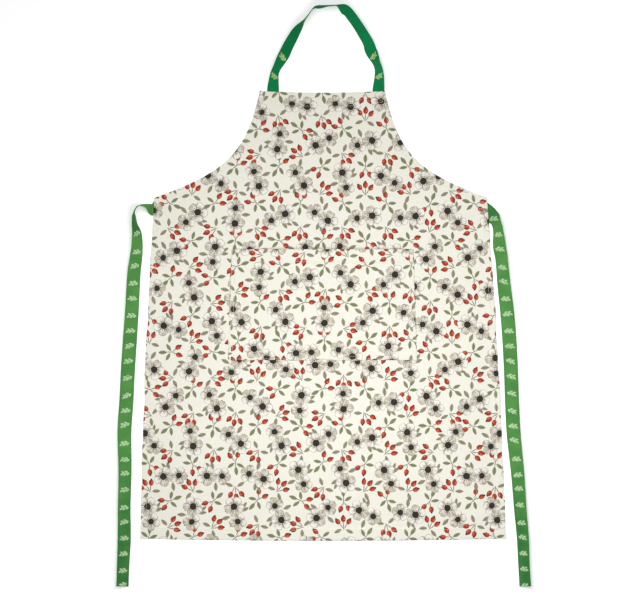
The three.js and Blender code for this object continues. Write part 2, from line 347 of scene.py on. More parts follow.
def sheet_mesh(name, surface, print_shift, materials):
    """A closed sheet from grids of x, y, bottom and top, and of where its cloth is turned under. Its print is
    moved by a shift. Below it shows the wrong side, except on turned hems."""
    x, y, bottom, top, turned_under = surface
    index = np.arange(x.size).reshape(x.shape)
    points = np.concatenate([np.stack([x, y, height], axis=-1).reshape(-1, 3) for height in (top, bottom)])
    upper = quads(index[:-1, :-1], index[:-1, 1:], index[1:, 1:], index[1:, :-1])
    lower = upper[:, ::-1] + x.size
    ring = np.concatenate([index[0, :-1], index[:-1, -1], index[-1, :0:-1], index[:0:-1, 0]])
    after = np.roll(ring, -1)
    rim = quads(ring + x.size, after + x.size, after, ring)
    wrong_side = np.where(turned_under[:-1, :-1].ravel(), 0, 1)
    face_materials = np.concatenate([np.zeros(len(upper)), wrong_side, np.zeros(len(rim))])
    faces = np.concatenate([upper, lower, rim]).tolist()
    return add_mesh(name, points, faces, points[:, :2] + print_shift, materials, face_materials)


def stations(first, last, insets, spacing):
    """Places from first to last: insets from both ends, and between them even steps of about this spacing."""
    first_insets, last_insets = insets
    start, stop = first + first_insets[-1], last - last_insets[-1]
    count = max(int(round((stop - start) / spacing)), 1)
    between = np.linspace(start, stop, count + 1)[1:-1]
    return np.concatenate([first + first_insets, between, last - last_insets[::-1]])


FOLD_INSETS = [0.0, 0.35, 0.9]
FLAT_MARGIN = 1.5
FLAT_STEPS = 4
DIP_MARGIN = 1.2
STEP_FADE = 2.5


def hem_insets(width):
    """Distances from an edge that follow a hem of this width: its round fold, its flat, stitches and step."""
    stitch_at = width - STITCH_BACK
    flat = np.linspace(FLAT_MARGIN, stitch_at - FLAT_MARGIN, FLAT_STEPS + 1)[1:-1]
    stitches = [stitch_at - DIP_MARGIN, stitch_at, stitch_at + DIP_MARGIN]
    step = [width, width + HEM_STEP, width + STEP_FADE * HEM_STEP]
    return np.concatenate([FOLD_INSETS, flat, stitches, step])


# Panel

PANEL_ROW_STEP = 3.6
PANEL_COLUMN_STEP = 5.2
LINE_POINTS = 60
ARMHOLE_POINTS = 1200
ARMHOLE_EASE = 45.0


def wander(share, phase):
    """The slight wave of a sewn edge that lies loose, in millimetres. It is zero at the corners."""
    waves = [wave.height * np.sin(wave.halves * np.pi * share + wave.phases * phase) for wave in WANDER_WAVES]
    return WANDER * sum(waves) * np.sin(np.pi * share)


def side_x(y, hem_x, waist_x):
    share = (y - HEM.y) / (WAIST.y - HEM.y)
    bow = math.copysign(SIDE_BOW, hem_x) * np.sin(np.pi * share)
    return hem_x + (waist_x - hem_x) * share + bow + wander(share, hem_x)


def armhole(share, waist_x, bib_x):
    """A point of the curved edge between the waist and the bib."""
    corner = np.array([bib_x + (waist_x - bib_x) * ARMHOLE_ACROSS, BIB.y * ARMHOLE_UP])
    waist, bib = np.array([waist_x, WAIST.y]), np.array([bib_x, BIB.y])
    first, second = (end + (corner - end) * ARMHOLE_FULLNESS for end in (waist, bib))
    t = np.asarray(share)[..., None]
    curve = (1 - t) ** 3 * waist + 3 * t * (1 - t) ** 2 * first + 3 * t * t * (1 - t) * second + t ** 3 * bib
    return curve[..., 0], curve[..., 1]


def sagged(y, sag, x, left, right):
    """A row's height in plan: its middle hangs a little below its ends."""
    side = (2.0 * x - left - right) / (right - left)
    return y - sag * (1.0 - side ** 2)


def end_line(edge, sag):
    x = np.linspace(edge.left, edge.right, LINE_POINTS)
    return np.column_stack([x, sagged(edge.y, sag, x, edge.left, edge.right)])


side_y = np.linspace(HEM.y, WAIST.y, LINE_POINTS)
curve_shares = np.linspace(0.0, 1.0, LINE_POINTS)
EdgeLine = namedtuple("EdgeLine", "line hem")
panel_edges = {
    "left_side": EdgeLine(np.column_stack([side_x(side_y, HEM.left, WAIST.left), side_y]), SIDE_HEM),
    "right_side": EdgeLine(np.column_stack([side_x(side_y, HEM.right, WAIST.right), side_y]), SIDE_HEM),
    "left_armhole": EdgeLine(np.column_stack(armhole(curve_shares, WAIST.left, BIB.left)), SIDE_HEM),
    "right_armhole": EdgeLine(np.column_stack(armhole(curve_shares, WAIST.right, BIB.right)), SIDE_HEM),
    "hem": EdgeLine(end_line(HEM, HEM_SAG), BOTTOM_HEM),
    "bib": EdgeLine(end_line(BIB, BIB_SAG), BIB_HEM),
}


def panel_heights(x, y):
    """Bottom and top of the panel over points of the plan, and whether the cloth is turned under there."""
    layers, dip, gather = np.zeros((3, *x.shape))
    outside = np.full(x.shape, np.inf)
    for line, hem in panel_edges.values():
        distance, along = nearest_on_line(x, y, line)
        stitch_at = hem - STITCH_BACK
        layers = np.maximum(layers, within(hem, HEM_STEP, distance))
        dip = np.maximum(dip, stitch_dip(distance, stitch_at))
        gather = np.maximum(gather, pucker(distance, along, stitch_at))
        outside = np.minimum(outside, distance)
    return cloth_faces(under_panel(x, y) + gather, layers, dip, outside)


def armhole_stations():
    """Shares along an armhole where rows end: even steps up to the bib's hem, and then those of the hem."""
    fine = np.linspace(0.0, 1.0, ARMHOLE_POINTS)
    line = np.column_stack(armhole(fine, WAIST.left, BIB.left))
    run = run_along(line)
    hem_y = BIB.y - hem_insets(BIB_HEM)[::-1]
    hem_from = np.interp(hem_y[0], line[:, 1], fine)
    count = int(hem_from * run[-1] / PANEL_ROW_STEP)
    below_hem = np.linspace(0.0, np.interp(hem_from, fine, run), count)[1:-1]
    return np.concatenate([np.interp(below_hem, run, fine), np.interp(hem_y, line[:, 1], fine)])


def panel_grid():
    """The plan of the panel as rows from hem to bib, with columns that follow the side hems."""
    skirt_y = stations(HEM.y, WAIST.y, (hem_insets(BOTTOM_HEM), np.array([0.0])), PANEL_ROW_STEP)
    shares = armhole_stations()
    left_x, armhole_y = armhole(shares, WAIST.left, BIB.left)
    right_x, _ = armhole(shares, WAIST.right, BIB.right)
    row_y = np.concatenate([skirt_y, armhole_y])
    left = np.concatenate([side_x(skirt_y, HEM.left, WAIST.left), left_x])
    right = np.concatenate([side_x(skirt_y, HEM.right, WAIST.right), right_x])
    sag = np.concatenate([HEM_SAG * (skirt_y - WAIST.y) / (HEM.y - WAIST.y), BIB_SAG * shares])
    # Where the edge slants, the side hems' columns spread out and so keep their distance from it
    rise = np.abs(unit(np.gradient(np.column_stack([left_x, armhole_y]), axis=0))[:, 1])
    ease = smoothstep(WAIST.y - ARMHOLE_EASE, WAIST.y, skirt_y)
    steepness = np.concatenate([1.0 + (rise[0] - 1.0) * ease, rise])
    hem = hem_insets(SIDE_HEM)[None, :] / steepness[:, None]
    inner_left, inner_right = left + hem[:, -1], right - hem[:, -1]
    between = np.linspace(0.0, 1.0, int((WAIST.right - WAIST.left) / PANEL_COLUMN_STEP))[None, 1:-1]
    x = np.concatenate([
        left[:, None] + hem,
        inner_left[:, None] + (inner_right - inner_left)[:, None] * between,
        right[:, None] - hem[:, ::-1],
    ], axis=1)
    return x, sagged(row_y[:, None], sag[:, None], x, left[:, None], right[:, None])


def make_panel(materials):
    grid = panel_grid()
    return sheet_mesh("panel_cloth", (*grid, *panel_heights(*grid)), (0.0, 0.0), materials)


# Pocket

POCKET_ROW_STEP = 3.4
POCKET_COLUMN_STEP = 4.2
POCKET_PRINT_SHIFT = (37.0, -23.0)


def pocket_surface(side, up):
    """Plan, bottom and top of the pocket at shares across, from -1 to 1, and up from its foot to its mouth,
    and whether the cloth is turned under there."""
    left = POCKET_FOOT.left + (POCKET_MOUTH.left - POCKET_FOOT.left) * up + wander(up, POCKET_LEFT_PHASE)
    right = POCKET_FOOT.right + (POCKET_MOUTH.right - POCKET_FOOT.right) * up + wander(up, POCKET_RIGHT_PHASE)
    x = (left + right) / 2 + side * (right - left) / 2
    y = POCKET_FOOT.y + up * POCKET_HEIGHT + wander((side + 1) / 2, POCKET_FOOT_PHASE) * (1.0 - up)
    from_side = (1.0 - np.abs(side)) * (right - left) / 2
    from_foot, from_mouth = up * POCKET_HEIGHT, (1.0 - up) * POCKET_HEIGHT
    from_seam = np.minimum(from_side, from_foot)
    layers = np.maximum(within(POCKET_SEAM, HEM_STEP, from_seam), within(POCKET_HEM, HEM_STEP, from_mouth))
    dip = stitch_dip(from_mouth, POCKET_HEM - STITCH_BACK)
    for stitch_at in POCKET_SEAM_STITCHES:
        dip = np.maximum(dip, stitch_dip(from_seam, stitch_at))
    along_seam = np.where(from_side < from_foot, y, x)
    gather = np.maximum(pucker(from_mouth, x, POCKET_HEM - STITCH_BACK),
                        pucker(from_seam, along_seam, POCKET_SEAM))
    gape = POCKET_GAPE * (1.0 - side ** 2) * np.clip(up, 0.0, 1.0) ** POCKET_GAPE_POWER
    base = under_panel(x, y) + CLOTH + SEAM_GAP + gape + gather
    return x, y, *cloth_faces(base, layers, dip, np.minimum(from_seam, from_mouth))


def make_pocket(materials):
    half_width = POCKET_WIDTH / 2
    seam = np.sort(np.concatenate([hem_insets(POCKET_SEAM), [POCKET_SEAM_STITCHES[0]]]))
    side = stations(-half_width, half_width, (seam, seam), POCKET_COLUMN_STEP) / half_width
    up = stations(0.0, POCKET_HEIGHT, (seam, hem_insets(POCKET_HEM)), POCKET_ROW_STEP) / POCKET_HEIGHT
    surface = pocket_surface(*np.meshgrid(side, up))
    return sheet_mesh("pocket_cloth", surface, POCKET_PRINT_SHIFT, materials)


# Tapes

Ribbon = namedtuple("Ribbon", "centre across through run")


def smooth_route(route):
    """Even steps along a smooth curve through a tape's places: x, y and roll in radians."""
    places = np.array([(place.x, place.y, math.radians(place.roll)) for place in route])
    padded = np.vstack([2 * places[0] - places[1], places, 2 * places[-1] - places[-2]])
    gaps = np.sqrt(np.linalg.norm(np.diff(padded, axis=0), axis=1))
    t = np.linspace(0.0, 1.0, TAPE_SUBSTEPS, endpoint=False)[:, None]
    spans = []
    for i in range(len(places) - 1):
        before, start, stop, after = padded[i:i + 4]
        gap_in, gap, gap_out = gaps[i:i + 3]
        leave = gap * ((start - before) / gap_in - (stop - before) / (gap_in + gap) + (stop - start) / gap)
        arrive = gap * ((stop - start) / gap - (after - start) / (gap + gap_out) + (after - stop) / gap_out)
        spans.append(start + leave * t + (3 * (stop - start) - 2 * leave - arrive) * t ** 2
                     + (2 * (start - stop) + leave + arrive) * t ** 3)
    path = np.vstack([*spans, places[-1:]])
    run = run_along(path[:, :2])
    stops = np.linspace(0.0, run[-1], int(round(run[-1] / TAPE_STEP)) + 1)
    return at_run(stops, run, path), stops


def lay_tape(route, width):
    """The line that a tape lies along, with the directions across it and through it, resting on the floor."""
    path, run = smooth_route(route)
    roll = np.maximum(path[:, 2:], 0.0)
    aside = leftward(path[:, :2])
    across = np.hstack([aside * np.cos(roll), np.sin(roll)])
    through = np.hstack([-aside * np.sin(roll), np.cos(roll)])
    height = np.abs(across[:, 2]) * width / 2 + np.abs(through[:, 2]) * TAPE / 2
    return Ribbon(np.column_stack([path[:, :2], height]), across, through, run)


def tape_profile(width):
    """The tape's section as a closed ring: place across in millimetres and share of its half thickness."""
    half = width / 2
    stitch = half - TAPE_STITCH_IN
    upper = [(half - inset.inward, inset.thickness) for inset in TAPE_EDGE]
    upper += [(stitch - inset.inward, inset.thickness) for inset in TAPE_GROOVE]
    upper += [(stitch * (1.0 - inset.inward), inset.thickness) for inset in TAPE_MIDDLE]
    top = upper + [(-across, thickness) for across, thickness in upper[-2::-1]]
    return np.array(top + [(across, -thickness) for across, thickness in top[-2:0:-1]])


def end_fold(ribbon, free_end):
    """How many times thicker the tape is along its run: a free end is turned over once."""
    to_end = ribbon.run[-1] - ribbon.run
    return 1.0 + free_end * TAPE_END_RISE * within(TAPE_END_FOLD, HEM_STEP, to_end)


def make_tape(name, ribbon, width, material, free_end):
    """A closed tape along a ribbon. A free end is folded over, and a sewn one lies under the panel."""
    ring = tape_profile(width)
    thickness = TAPE * end_fold(ribbon, free_end)
    points = (ribbon.centre[:, None, :]
              + ribbon.across[:, None, :] * ring[None, :, :1]
              + ribbon.through[:, None, :] * ring[None, :, 1:] * (thickness / 2)[:, None, None])
    points[:, :, 2] += (thickness - TAPE)[:, None] / 2
    index = np.arange(points.size // 3).reshape(points.shape[:-1])
    beside = np.roll(index, -1, axis=1)
    walls = quads(index[:-1], beside[:-1], beside[1:], index[1:])
    half = len(ring) // 2
    caps = []
    for end, facing in ((index[0].tolist(), -1), (index[-1].tolist(), 1)):
        cap = [(end[0], end[1], end[-1]), (end[half - 1], end[half], end[half + 1])]
        cap += [(end[i], end[i + 1], end[-i - 1], end[-i]) for i in range(1, half - 1)]
        caps += [face[::facing] for face in cap]
    faces = walls.tolist() + caps
    plan = np.stack(np.broadcast_arrays(ribbon.run[:, None], ring[None, :, 0]), axis=-1).reshape(-1, 2)
    return add_mesh(name, points.reshape(-1, 3), faces, plan, [material], np.zeros(len(faces)))


# Stitches

def stitch_row(line, upward=None):
    """Start, end and upward direction of each stitch in a row along a line of points."""
    if upward is None:
        upward = np.tile([0.0, 0.0, 1.0], (len(line), 1))
    run = run_along(line)
    count = int((run[-1] - STITCH_LENGTH) / STITCH_PITCH) + 1
    spare = run[-1] - STITCH_LENGTH - STITCH_PITCH * (count - 1)
    starts = spare / 2 + STITCH_PITCH * np.arange(count)
    ends = starts + STITCH_LENGTH
    middles = starts + STITCH_LENGTH / 2
    return at_run(starts, run, line), at_run(ends, run, line), at_run(middles, run, upward)


def make_stitches(name, rows, material):
    """All the stitches of some rows as one mesh: short beads of thread whose ends dip into the cloth."""
    starts, ends, upward = (np.concatenate(part) for part in zip(*rows))
    axis = unit(ends - starts)
    aside = unit(np.cross(upward, axis))
    lift = np.cross(axis, aside)
    turns = 2.0 * np.pi * np.arange(STITCH_SIDES) / STITCH_SIDES
    along, girth, rise = np.array(STITCH_BEADS).T
    middles = starts[:, None] + (ends - starts)[:, None] * along[:, None]
    middles = middles + lift[:, None] * (STITCH_RADIUS * rise[:, None])
    spokes = aside[:, None] * np.cos(turns)[:, None] + lift[:, None] * np.sin(turns)[:, None]
    points = middles[:, :, None] + spokes[:, None] * (STITCH_RADIUS * girth[:, None, None])
    index = np.arange(points.size // 3).reshape(points.shape[:-1])
    beside = np.roll(index, -1, axis=2)
    walls = quads(index[:, :-1], beside[:, :-1], beside[:, 1:], index[:, 1:])
    faces = walls.tolist() + index[:, 0, ::-1].tolist() + index[:, -1].tolist()
    points = points.reshape(-1, 3)
    return add_mesh(name, points, faces, points[:, :2], [material], np.zeros(len(faces)))


def trimmed(line, from_start, from_end):
    """A line in plan without these lengths of its two ends, in close even steps."""
    run = run_along(line)
    kept = run[-1] - from_end - from_start
    where = np.linspace(from_start, run[-1] - from_end, int(kept / STITCH_LENGTH) + 2)
    return at_run(where, run, line)


def box_lines(box):
    """A sewn square with its two diagonals, as lines in plan."""
    turn = math.radians(box.angle)
    ahead = np.array([math.cos(turn), math.sin(turn)]) * BOX_SIZE / 2
    aside = np.array([-math.sin(turn), math.cos(turn)]) * BOX_SIZE / 2
    corners = [np.array([box.x, box.y]) + ahead * i + aside * j for i, j in SQUARE]
    ends = [(0, 1), (1, 2), (2, 3), (3, 0), (0, 2), (1, 3)]
    return [np.array([corners[a], corners[b]]) for a, b in ends]


EDGE_CLEAR = 2.0
Seam = namedtuple("Seam", "edge to_left from_start from_end")


def panel_rows():
    """Stitches of the panel: a row along each hem, and a square with a cross where each strap is sewn on."""
    side, bottom, bib = (hem - STITCH_BACK for hem in (SIDE_HEM, BOTTOM_HEM, BIB_HEM))
    seams = [
        Seam("left_side", -side, bottom, side), Seam("right_side", side, bottom, side),
        Seam("left_armhole", -side, EDGE_CLEAR, bib), Seam("right_armhole", side, EDGE_CLEAR, bib),
        Seam("hem", bottom, EDGE_CLEAR, EDGE_CLEAR), Seam("bib", -bib, EDGE_CLEAR, EDGE_CLEAR),
    ]
    lines = []
    for seam in seams:
        edge = panel_edges[seam.edge].line
        lines.append(trimmed(edge + seam.to_left * leftward(edge), seam.from_start, seam.from_end))
    for box in STRAP_BOXES:
        lines += [trimmed(line, 0.0, 0.0) for line in box_lines(box)]
    return [stitch_row(np.column_stack([line, panel_heights(*line.T)[1]])) for line in lines]


def pocket_rows():
    """Stitches of the pocket: two rows round its sides and foot, and one along its hem."""
    half_width = POCKET_WIDTH / 2
    mouth = 1.0 - EDGE_CLEAR / POCKET_HEIGHT
    spans = []
    for inset in POCKET_SEAM_STITCHES:
        edge, foot = 1.0 - inset / half_width, inset / POCKET_HEIGHT
        spans.append(((-edge, foot), (edge, foot)))
        spans += [((side, foot), (side, mouth)) for side in (-edge, edge)]
    edge, hem = 1.0 - POCKET_SEAM / half_width, 1.0 - (POCKET_HEM - STITCH_BACK) / POCKET_HEIGHT
    spans.append(((-edge, hem), (edge, hem)))
    rows = []
    for (side_0, up_0), (side_1, up_1) in spans:
        length = max(abs(side_1 - side_0) * half_width, abs(up_1 - up_0) * POCKET_HEIGHT)
        count = int(length / STITCH_LENGTH)
        x, y, _, top, _ = pocket_surface(np.linspace(side_0, side_1, count), np.linspace(up_0, up_1, count))
        rows.append(stitch_row(np.column_stack([x, y, top])))
    return rows


def tape_rows(ribbon, width, free_end):
    """Stitches along both edges of a tape and across its folded end, on each face that is off the floor."""
    edge = width / 2 - TAPE_STITCH_IN
    folded = end_fold(ribbon, free_end)
    last = np.searchsorted(ribbon.run, ribbon.run[-1] - TAPE_END_FOLD + STITCH_BACK)
    rows = []
    for upward in (ribbon.through, -ribbon.through):
        face = ribbon.centre + upward * (TAPE / 2 * TAPE_STITCH_SHARE * folded)[:, None]
        face[:, 2] += TAPE / 2 * (folded - 1.0)
        lines = [(face + ribbon.across * side, upward) for side in (-edge, edge)]
        if free_end:
            half = ribbon.across[last] * edge
            lines.append((np.array([face[last] - half, face[last] + half]), np.tile(upward[last], (2, 1))))
        for line, facing in lines:
            starts, stops, up = stitch_row(line, facing)
            open_side = up[:, 2] > FLOORED
            rows.append((starts[open_side], stops[open_side], up[open_side]))
    return rows


# Materials: arithmetic on values that vary over a surface

SCREEN_WHITE = 255.0


def colour(red, green, blue):
    """A shader colour from the 0 to 255 values of a screen."""
    screen = Color((red / SCREEN_WHITE, green / SCREEN_WHITE, blue / SCREEN_WHITE))
    return (*screen.from_srgb_to_scene_linear(), 1.0)


class Field:
    """A number or colour that varies over a surface: the output of a shader node, with arithmetic."""

    def __init__(self, socket):
        self.socket = socket

    def __add__(self, other):
        return calc("ADD", self, other)

    def __sub__(self, other):
        return calc("SUBTRACT", self, other)

    def __rsub__(self, other):
        return calc("SUBTRACT", other, self)

    def __mul__(self, other):
        return calc("MULTIPLY", self, other)

    def __truediv__(self, other):
        return calc("DIVIDE", self, other)

    def __abs__(self):
        return calc("ABSOLUTE", self)

    __radd__ = __add__
    __rmul__ = __mul__


def wired_node(kind, inputs, **settings):
    """A new node with these settings, in the tree of the first field among its numbered or named inputs."""
    tree = next(value.socket.id_data for value in inputs.values() if isinstance(value, Field))
    node = tree.nodes.new(kind)
    for name, setting in settings.items():
        setattr(node, name, setting)
    for key, value in inputs.items():
        if isinstance(value, Field):
            tree.links.new(value.socket, node.inputs[key])
        else:
            node.inputs[key].default_value = value
    return node


def field(kind, inputs, output=0, **settings):
    """One output of a new node, as a field."""
    return Field(wired_node(kind, inputs, **settings).outputs[output])


def calc(operation, *values):
    return field("ShaderNodeMath", dict(enumerate(values)), operation=operation)


def ramp(value, low, high):
    """0 up to low and 1 from high on, with a smooth rise between. It falls where low is above high."""
    return field("ShaderNodeMapRange", {0: value, 1: low, 2: high}, interpolation_type="SMOOTHSTEP")


def pair(x, y):
    return field("ShaderNodeCombineXYZ", {0: x, 1: y})


def reach(x, y):
    """Distance of a point from the origin."""
    return field("ShaderNodeVectorMath", {0: pair(x, y)}, "Value", operation="LENGTH")


CLOUD_DETAIL = 2.0


def cloud(x, y, pitch):
    """Soft random patches of about this size, from 0 to 1."""
    inputs = {"Vector": pair(x / pitch, y / pitch), "Scale": 1.0, "Detail": CLOUD_DETAIL}
    return field("ShaderNodeTexNoise", inputs, noise_dimensions="2D")


# Sockets of a mix node that mixes two colours
MIX_SHARE = 0
MIX_BASE = 6
MIX_PAINT = 7
MIX_RESULT = 2


def over(base, paint, share):
    """One colour laid over another, by a share from 0 to 1."""
    inputs = {MIX_SHARE: share, MIX_BASE: base, MIX_PAINT: paint}
    return field("ShaderNodeMix", inputs, MIX_RESULT, data_type="RGBA")


Cell = namedtuple("Cell", "x y chance")


def cells(x, y, width, height, shift):
    """Cells laid like bricks: the place from the middle of its cell, and three chances of the cell's own."""
    up = y / height + shift[1]
    row = calc("FLOOR", up)
    along = x / width + row * 0.5 + shift[0]
    column = calc("FLOOR", along)
    chance = field("ShaderNodeTexWhiteNoise", {"Vector": pair(column, row)}, "Color", noise_dimensions="2D")
    parts = wired_node("ShaderNodeSeparateColor", {0: chance}).outputs
    return Cell((along - column - 0.5) * width, (up - row - 0.5) * height, [Field(part) for part in parts])


def turned(x, y, angle):
    """A point seen from axes that are turned by an angle, which is a number or a field."""
    if isinstance(angle, Field):
        cosine, sine = calc("COSINE", angle), calc("SINE", angle)
    else:
        cosine, sine = math.cos(angle), math.sin(angle)
    return x * cosine + y * sine, y * cosine - x * sine


# Printed cotton: blossoms, rose hips and leaves scattered over a cream ground

GROUND = colour(236, 234, 221)
GROUND_DEEP = colour(230, 228, 214)
PETAL = colour(239, 236, 227)
PETAL_SHADE = colour(196, 189, 172)
PETAL_DEEP = colour(151, 141, 122)
INK = colour(107, 97, 82)
CHARCOAL = colour(54, 50, 44)
HIP = colour(176, 68, 46)
HIP_DEEP = colour(122, 54, 41)
HIP_LIGHT = colour(207, 130, 104)
LEAF = colour(151, 145, 123)
LEAF_DEEP = colour(104, 98, 77)
LEAF_GREEN = colour(133, 138, 105)
WRONG_SIDE = colour(238, 234, 220)
WRONG_SIDE_FADE = 0.82
GRAIN_PITCH = 6.0

CELL_WIDTH = 84.0
CELL_HEIGHT = 72.0
Leaf = namedtuple("Leaf", "x y angle length width")
Hip = namedtuple("Hip", "x y angle radius")
Blossom = namedtuple("Blossom", "x y radius turn")
Spray = namedtuple("Spray", "shift paint stems leaves hips")
SPRAYS = [
    Spray((0.5, 0.35), LEAF,
          stems=[Leaf(0, 1, 90, 20, 1.6), Leaf(-4.5, 1.5, 122, 16, 1.6), Leaf(4.5, 1, 60, 16, 1.6)],
          leaves=[Leaf(-11.5, -8.5, 205, 17, 7.5), Leaf(11, -10, -28, 17, 7.5)],
          hips=[Hip(0, 14.5, 90, 4.9), Hip(-11, 10, 124, 4.7), Hip(10.5, 9, 58, 4.7)]),
    Spray((0.5, -0.35), LEAF_GREEN,
          stems=[Leaf(0, 0, 88, 22, 1.6), Leaf(-3.5, -9, -112, 13, 1.6), Leaf(4, -9, -62, 13, 1.6)],
          leaves=[Leaf(0, 15, 90, 18, 8), Leaf(-9, 5, 148, 17, 7), Leaf(9, 3, 30, 17, 7)],
          hips=[Hip(-6.5, -16, -112, 4.7), Hip(8.5, -15.5, -62, 4.7)]),
]
BUNCH_LEAVES = [Leaf(5.5, 19, 72, 18, 8), Leaf(-5, -20, -112, 18, 8), Leaf(-1, 24.5, 108, 14, 6)]
BUNCH_BLOSSOMS = [Blossom(15, -6.5, 17.5, 0.4), Blossom(-12, 6.5, 20, 0)]

# Leaf, by shares of its half width: its soft edge, and the lines along its middle and round it
LEAF_EDGE = 0.16
LEAF_LINES = (0.2, 0.04)

# Rose hip, by shares of its radius: its edge, its darker side, the light spot on it and its dark crown
HIP_STRETCH = 1.3
HIP_EDGE = (1.05, 0.92)
HIP_SHADE_LEAN = 0.3
HIP_SHADE = (0.0, 0.9)
HIP_SPOT = (-0.1, -0.45)
HIP_SPOT_EDGE = (0.34, 0.1)
CROWN_AT = 0.98
CROWN_SQUEEZE = 1.4
CROWN_EDGE = (0.46, 0.34)

# Blossom, by shares of its radius: notched petals, shaded round the heart, in the gaps and on the low side
PETALS = 5.0
PETAL_NOTCH = 0.26
PETAL_RAGGED = 0.2
PETAL_EDGE = 0.05
HEART_SHADE = (0.85, 0.25)
GAP_SHADE = (0.35, 1.0)
LOW_SIDE = (0.55, -0.85)
LOW_SHADE = (-0.45, 0.85)
PETAL_STREAKS = 5.0
STREAK_STRETCH = 1.6
PALE_STREAK = (0.1, 0.5)
DEEP_STREAK = (0.48, 0.68)
DEEP_STREAK_SHARE = 0.85
PETAL_LINE = (0.085, 0.03)
GAP_LINE = (0.055, 0.015)
LINE_SHARE = 0.8
STAMENS = 14.0
STAMEN_RING = 0.45
STAMEN_TIP = (0.05, 0.034)
HEART = 0.36
HEART_RAGGED = 0.12
HEART_EDGE = 0.05

# Weave and finish. The relief of a bump is in millimetres
THREAD_PITCH = 0.55
THREAD_UNDER = 0.4
SLUB_LENGTH = 14.0
SLUB_STRETCH = 12.0
SLUB_TINT = (0.35, 0.7)
SLUB_RELIEF = 1.5
CLOTH_SPECULAR = 0.1
Finish = namedtuple("Finish", "roughness sheen relief bump")
COTTON_FINISH = Finish(0.92, 0.12, 0.12, 0.5)
TAPE_FINISH = Finish(0.9, 0.04, 0.12, 0.6)
THREAD_FINISH = Finish(0.7, 0.1, 0.05, 0.5)


def leaf_on(base, x, y, leaf, paint, vein):
    along, aside = turned(x - leaf.x, y - leaf.y, math.radians(leaf.angle))
    along, aside = along * (2.0 / leaf.length), abs(aside) * (2.0 / leaf.width)
    edge = 1.0 - along * along - aside
    inside = ramp(edge, 0.0, LEAF_EDGE)
    base = over(base, paint, inside)
    return over(base, vein, inside * ramp(calc("MINIMUM", aside, edge), *LEAF_LINES))


def hip_on(base, x, y, hip):
    along, aside = turned(x - hip.x, y - hip.y, math.radians(hip.angle))
    along, aside = along * (1.0 / (HIP_STRETCH * hip.radius)), aside * (1.0 / hip.radius)
    inside = ramp(reach(along, aside), *HIP_EDGE)
    base = over(base, HIP, inside)
    base = over(base, HIP_DEEP, inside * ramp(aside + along * HIP_SHADE_LEAN, *HIP_SHADE))
    base = over(base, HIP_LIGHT, ramp(reach(along - HIP_SPOT[0], aside - HIP_SPOT[1]), *HIP_SPOT_EDGE))
    return over(base, CHARCOAL, ramp(reach((along - CROWN_AT) * CROWN_SQUEEZE, aside), *CROWN_EDGE))


def blossom_on(base, x, y, blossom, grain):
    dx, dy = (x - blossom.x) * (1.0 / blossom.radius), (y - blossom.y) * (1.0 / blossom.radius)
    out = reach(dx, dy)
    angle = calc("ARCTAN2", dy, dx) * (0.5 / math.pi) + blossom.turn
    gap = abs(calc("FRACT", angle * PETALS) * 2.0 - 1.0)
    edge = 1.0 - gap * gap * gap * PETAL_NOTCH + (grain - 0.5) * PETAL_RAGGED - out
    inside = ramp(edge, 0.0, PETAL_EDGE)
    base = over(base, PETAL, inside)
    low_side = ramp(dx * LOW_SIDE[0] + dy * LOW_SIDE[1], *LOW_SHADE)
    shade = calc("MAXIMUM", calc("MAXIMUM", ramp(out, *HEART_SHADE), ramp(gap, *GAP_SHADE)), low_side)
    streak = cloud(angle * (PETALS * PETAL_STREAKS), out * STREAK_STRETCH, 1.0)
    base = over(base, PETAL_SHADE, inside * shade * ramp(streak, *PALE_STREAK))
    base = over(base, PETAL_DEEP, inside * shade * ramp(streak, *DEEP_STREAK) * DEEP_STREAK_SHARE)
    line = calc("MAXIMUM", ramp(edge, *PETAL_LINE), ramp((1.0 - gap) * out, *GAP_LINE))
    base = over(base, INK, inside * line * LINE_SHARE)
    fan = calc("FRACT", angle * STAMENS) * 2.0 - 1.0
    tip = reach(fan * (math.pi * STAMEN_RING / STAMENS), out - STAMEN_RING)
    base = over(base, CHARCOAL, ramp(tip, *STAMEN_TIP))
    return over(base, CHARCOAL, ramp(out + (grain - 0.5) * HEART_RAGGED, HEART, HEART - HEART_EDGE))


def motif_axes(x, y, shift):
    """A place as seen from the motif in whose cell it lies. Each motif is turned by a chance of its own."""
    cell = cells(x, y, CELL_WIDTH, CELL_HEIGHT, shift)
    return turned(cell.x, cell.y, cell.chance[0] * (2.0 * math.pi))


def scattered_print(base, x, y):
    """The whole print over a ground colour, by place on the cloth in millimetres."""
    grain = cloud(x, y, GRAIN_PITCH)
    for spray in SPRAYS:
        px, py = motif_axes(x, y, spray.shift)
        for stem in spray.stems:
            base = leaf_on(base, px, py, stem, LEAF_DEEP, LEAF_DEEP)
        for leaf in spray.leaves:
            base = leaf_on(base, px, py, leaf, spray.paint, LEAF_DEEP)
        for hip in spray.hips:
            base = hip_on(base, px, py, hip)
    px, py = motif_axes(x, y, (0.0, 0.0))
    for leaf in BUNCH_LEAVES:
        base = leaf_on(base, px, py, leaf, LEAF, LEAF_DEEP)
    for blossom in BUNCH_BLOSSOMS:
        base = blossom_on(base, px, py, blossom, grain)
    return base


def weave(x, y, pitch):
    """Height of a plain weave, from 0 to 1: threads that pass over and under each other."""
    across, up = x / pitch, y / pitch
    over_under = calc("FLOORED_MODULO", calc("FLOOR", across) + calc("FLOOR", up), 2.0)
    warp = calc("SINE", calc("FRACT", across) * math.pi)
    weft = calc("SINE", calc("FRACT", up) * math.pi)
    step = over_under * (1.0 - THREAD_UNDER)
    return warp * (step + THREAD_UNDER) + weft * (1.0 - step)


